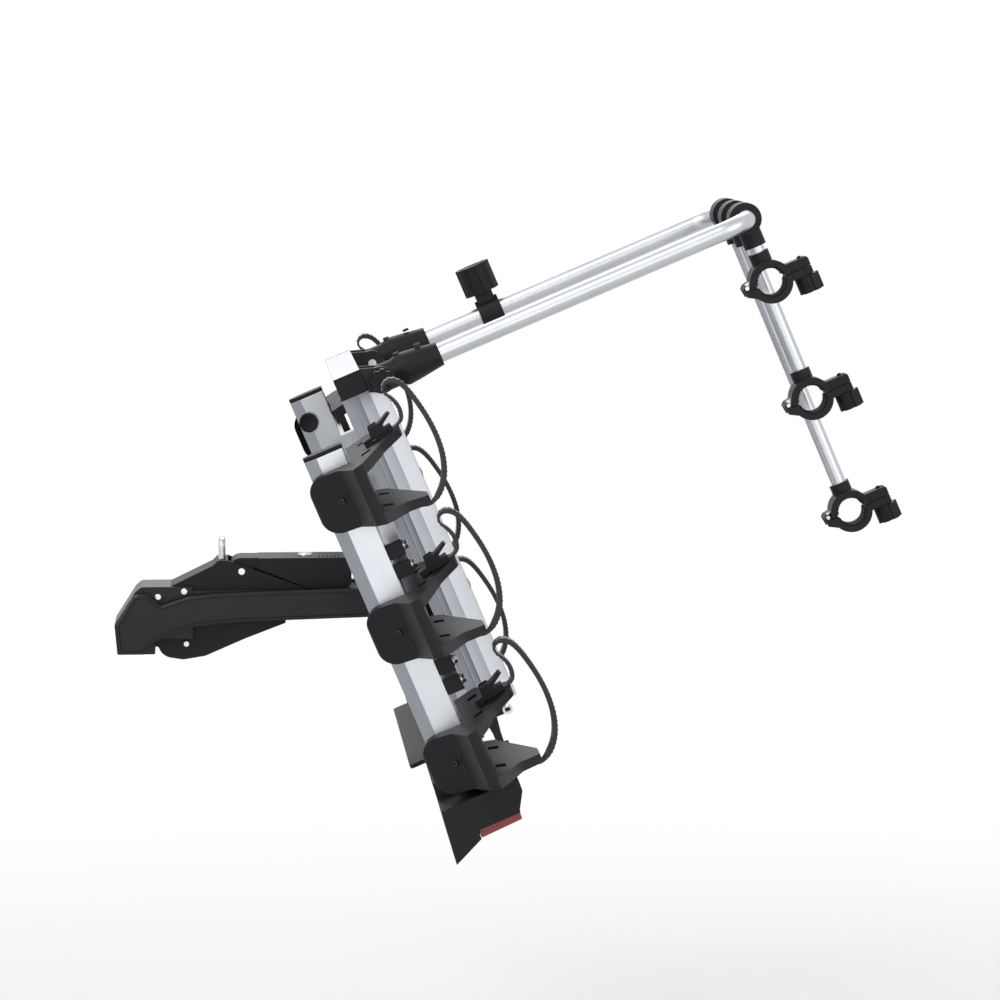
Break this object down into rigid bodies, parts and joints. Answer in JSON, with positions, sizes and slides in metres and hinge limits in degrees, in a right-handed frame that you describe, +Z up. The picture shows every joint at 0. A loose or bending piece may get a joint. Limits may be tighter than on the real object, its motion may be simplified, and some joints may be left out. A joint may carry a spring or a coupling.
{
  "type": "hitch bike rack",
  "caption": "Tow-ball platform bicycle carrier for three bikes, tilted back on its arm, with folding mast, frame clamps, strap-down wheel troughs and rear lamps.",
  "frame": {"origin": "centre of the tow ball in the coupling's socket", "axes": "+X towards the rear of the car, +Y to the car's right across the platform, +Z up"},
  "size_m": [1.1629, 1.25, 0.8624],
  "materials": {
    "black_steel": "semi-gloss powder coat",
    "black_plastic": "fine-textured moulding",
    "satin_aluminium": "satin anodised",
    "bright_steel": "zinc plated",
    "bearing_plastic": "turned acetal",
    "rubber": "ribbed",
    "red_lens": "clear-coated red acrylic",
    "clear_lens": "clear acrylic over prisms"
  },
  "bodies": {
    "coupling": {"coupling_head": "black_steel", "arm_rail_left": "black_steel", "arm_rail_right": "black_steel", "arm_core": "black_steel", "lower_guard": "black_plastic", "top_cover": "black_plastic", "striker_loop": "bright_steel", "coupling_pins": "bright_steel", "tilt_axle": "bright_steel"},
    "jaw": {"clamp_jaw": "black_steel"},
    "lever": {"clamp_lever": "black_plastic"},
    "lock": {"lock_barrel": "bright_steel"},
    "platform": {"pivot_brackets": "black_steel", "pivot_bushes": "bearing_plastic", "inner_beam_left": "satin_aluminium", "inner_beam_right": "satin_aluminium", "outer_beam_left": "satin_aluminium", "outer_beam_right": "satin_aluminium", "end_caps": "black_plastic", "cross_tubes": "satin_aluminium", "holder_rails": "satin_aluminium", "crossmembers": "satin_aluminium", "latch_brackets": "black_steel", "rear_rail": "satin_aluminium", "lamp_housings": "black_plastic", "lenses_red": "red_lens", "lenses_clear": "clear_lens", "plate_holder": "black_plastic", "mast_ears": "black_steel"},
    "claw": {"latch_claw": "black_steel"},
    "rod": {"release_rod": "bright_steel"},
    "pedal": {"pedal_lever": "black_steel", "pedal_pad": "rubber"},
    "mast": {"mast_tube": "satin_aluminium", "mast_sleeves": "black_plastic", "leg_clamp": "black_plastic"},
    "leg_knob": {"leg_clamp_knob": "black_plastic"},
    "holder_left_1": {"wheel_holder_left_1": "black_plastic"},
    "buckle_left_1": {"buckle_lever_left_1": "black_plastic"},
    "holder_left_2": {"wheel_holder_left_2": "black_plastic"},
    "buckle_left_2": {"buckle_lever_left_2": "black_plastic"},
    "holder_left_3": {"wheel_holder_left_3": "black_plastic"},
    "buckle_left_3": {"buckle_lever_left_3": "black_plastic"},
    "mast_knob_left": {"mast_knob_left": "black_plastic"},
    "holder_right_1": {"wheel_holder_right_1": "black_plastic"},
    "buckle_right_1": {"buckle_lever_right_1": "black_plastic"},
    "holder_right_2": {"wheel_holder_right_2": "black_plastic"},
    "buckle_right_2": {"buckle_lever_right_2": "black_plastic"},
    "holder_right_3": {"wheel_holder_right_3": "black_plastic"},
    "buckle_right_3": {"buckle_lever_right_3": "black_plastic"},
    "mast_knob_right": {"mast_knob_right": "black_plastic"},
    "arm_1": {"bike_arm_1": "satin_aluminium"},
    "swing_jaw_1": {"jaw_swing_1": "black_plastic"},
    "arm_knob_1": {"arm_knob_1": "black_plastic"},
    "arm_2": {"bike_arm_2": "satin_aluminium"},
    "swing_jaw_2": {"jaw_swing_2": "black_plastic"},
    "arm_knob_2": {"arm_knob_2": "black_plastic"},
    "arm_3": {"bike_arm_3": "satin_aluminium"},
    "swing_jaw_3": {"jaw_swing_3": "black_plastic"},
    "arm_knob_3": {"arm_knob_3": "black_plastic"}
  },
  "joints": [
    {"name": "tilt", "type": "hinge", "parent": "coupling", "child": "platform", "pos_m": [0.35, 0, 0.045], "axis": [0, 1, 0], "range_deg": [-67, 0]},
    {"name": "lever_lift", "type": "hinge", "parent": "coupling", "child": "lever", "pos_m": [0.15, 0, 0.088], "axis": [0, -1, 0], "range_deg": [0, 80]},
    {"name": "jaw_open", "type": "hinge", "parent": "coupling", "child": "jaw", "pos_m": [0.07, 0, -0.017], "axis": [0, -1, 0], "range_deg": [0, 12]},
    {"name": "lock_turn", "type": "hinge", "parent": "lever", "child": "lock", "pos_m": [0.242, 0, 0.107], "axis": [0, 0, 1], "range_deg": [0, 90]},
    {"name": "pedal_press", "type": "hinge", "parent": "platform", "child": "pedal", "pos_m": [0.50364, -0.05, -0.12009], "axis": [0, 1, 0], "range_deg": [-18, 0]},
    {"name": "rod_slide", "type": "slide", "parent": "platform", "child": "rod", "axis": [0.3907, 0, -0.9205], "range_m": [-0.00918, 0]},
    {"name": "claw_turn", "type": "hinge", "parent": "platform", "child": "claw", "pos_m": [0.37018, 0, 0.29691], "axis": [0, 1, 0], "range_deg": [0, 45]},
    {"name": "mast_fold", "type": "hinge", "parent": "platform", "child": "mast", "pos_m": [0.34589, 0, 0.3746], "axis": [0, 1, 0], "range_deg": [0, 90]},
    {"name": "leg_knob_turn", "type": "hinge", "parent": "mast", "child": "leg_knob", "pos_m": [0.52263, 0.17, 0.44962], "axis": [-0.3907, 0, 0.9205], "continuous": true},
    {"name": "holder_slide_left_1", "type": "slide", "parent": "platform", "child": "holder_left_1", "axis": [0, -1, 0], "range_m": [0, 0.06]},
    {"name": "buckle_lift_left_1", "type": "hinge", "parent": "holder_left_1", "child": "buckle_left_1", "pos_m": [0.32381, -0.47, 0.32963], "axis": [0, -1, 0], "range_deg": [0, 80]},
    {"name": "holder_slide_left_2", "type": "slide", "parent": "platform", "child": "holder_left_2", "axis": [0, -1, 0], "range_m": [0, 0.06]},
    {"name": "buckle_lift_left_2", "type": "hinge", "parent": "holder_left_2", "child": "buckle_left_2", "pos_m": [0.39805, -0.47, 0.15473], "axis": [0, -1, 0], "range_deg": [0, 80]},
    {"name": "holder_slide_left_3", "type": "slide", "parent": "platform", "child": "holder_left_3", "axis": [0, -1, 0], "range_m": [0, 0.06]},
    {"name": "buckle_lift_left_3", "type": "hinge", "parent": "holder_left_3", "child": "buckle_left_3", "pos_m": [0.47229, -0.47, -0.02017], "axis": [0, -1, 0], "range_deg": [0, 80]},
    {"name": "mast_knob_turn_left", "type": "hinge", "parent": "platform", "child": "mast_knob_left", "pos_m": [0.34589, -0.21, 0.3746], "axis": [0, -1, 0], "continuous": true},
    {"name": "holder_slide_right_1", "type": "slide", "parent": "platform", "child": "holder_right_1", "axis": [0, 1, 0], "range_m": [0, 0.06]},
    {"name": "buckle_lift_right_1", "type": "hinge", "parent": "holder_right_1", "child": "buckle_right_1", "pos_m": [0.32381, 0.47, 0.32963], "axis": [0, -1, 0], "range_deg": [0, 80]},
    {"name": "holder_slide_right_2", "type": "slide", "parent": "platform", "child": "holder_right_2", "axis": [0, 1, 0], "range_m": [0, 0.06]},
    {"name": "buckle_lift_right_2", "type": "hinge", "parent": "holder_right_2", "child": "buckle_right_2", "pos_m": [0.39805, 0.47, 0.15473], "axis": [0, -1, 0], "range_deg": [0, 80]},
    {"name": "holder_slide_right_3", "type": "slide", "parent": "platform", "child": "holder_right_3", "axis": [0, 1, 0], "range_m": [0, 0.06]},
    {"name": "buckle_lift_right_3", "type": "hinge", "parent": "holder_right_3", "child": "buckle_right_3", "pos_m": [0.47229, 0.47, -0.02017], "axis": [0, -1, 0], "range_deg": [0, 80]},
    {"name": "mast_knob_turn_right", "type": "hinge", "parent": "platform", "child": "mast_knob_right", "pos_m": [0.34589, 0.21, 0.3746], "axis": [0, 1, 0], "continuous": true},
    {"name": "arm_swing_1", "type": "hinge", "parent": "mast", "child": "arm_1", "pos_m": [0.86598, -0.1, 0.59536], "axis": [0, -1, 0], "range_deg": [0, 90]},
    {"name": "jaw_swing_1", "type": "hinge", "parent": "arm_1", "child": "swing_jaw_1", "pos_m": [0.86878, -0.1, 0.49661], "axis": [0, 1, 0], "range_deg": [0, 75]},
    {"name": "arm_knob_turn_1", "type": "hinge", "parent": "swing_jaw_1", "child": "arm_knob_1", "pos_m": [0.96137, -0.1, 0.50114], "axis": [0.3907, 0, -0.9205], "continuous": true},
    {"name": "arm_swing_2", "type": "hinge", "parent": "mast", "child": "arm_2", "pos_m": [0.86598, 0, 0.59536], "axis": [0, -1, 0], "range_deg": [0, 90]},
    {"name": "jaw_swing_2", "type": "hinge", "parent": "arm_2", "child": "swing_jaw_2", "pos_m": [0.94302, 0, 0.32171], "axis": [0, 1, 0], "range_deg": [0, 75]},
    {"name": "arm_knob_turn_2", "type": "hinge", "parent": "swing_jaw_2", "child": "arm_knob_2", "pos_m": [1.03561, 0, 0.32625], "axis": [0.3907, 0, -0.9205], "continuous": true},
    {"name": "arm_swing_3", "type": "hinge", "parent": "mast", "child": "arm_3", "pos_m": [0.86598, 0.1, 0.59536], "axis": [0, -1, 0], "range_deg": [0, 90]},
    {"name": "jaw_swing_3", "type": "hinge", "parent": "arm_3", "child": "swing_jaw_3", "pos_m": [1.01726, 0.1, 0.14681], "axis": [0, 1, 0], "range_deg": [0, 75]},
    {"name": "arm_knob_turn_3", "type": "hinge", "parent": "swing_jaw_3", "child": "arm_knob_3", "pos_m": [1.10985, 0.1, 0.15135], "axis": [0.3907, 0, -0.9205], "continuous": true}
  ],
  "couplings": [
    {"joint": "jaw_open", "follows": "lever_lift", "ratio": 0.15},
    {"joint": "rod_slide", "follows": "pedal_press", "m_per_rad": 0.029233},
    {"joint": "claw_turn", "follows": "pedal_press", "ratio": -2.4999}
  ]
}
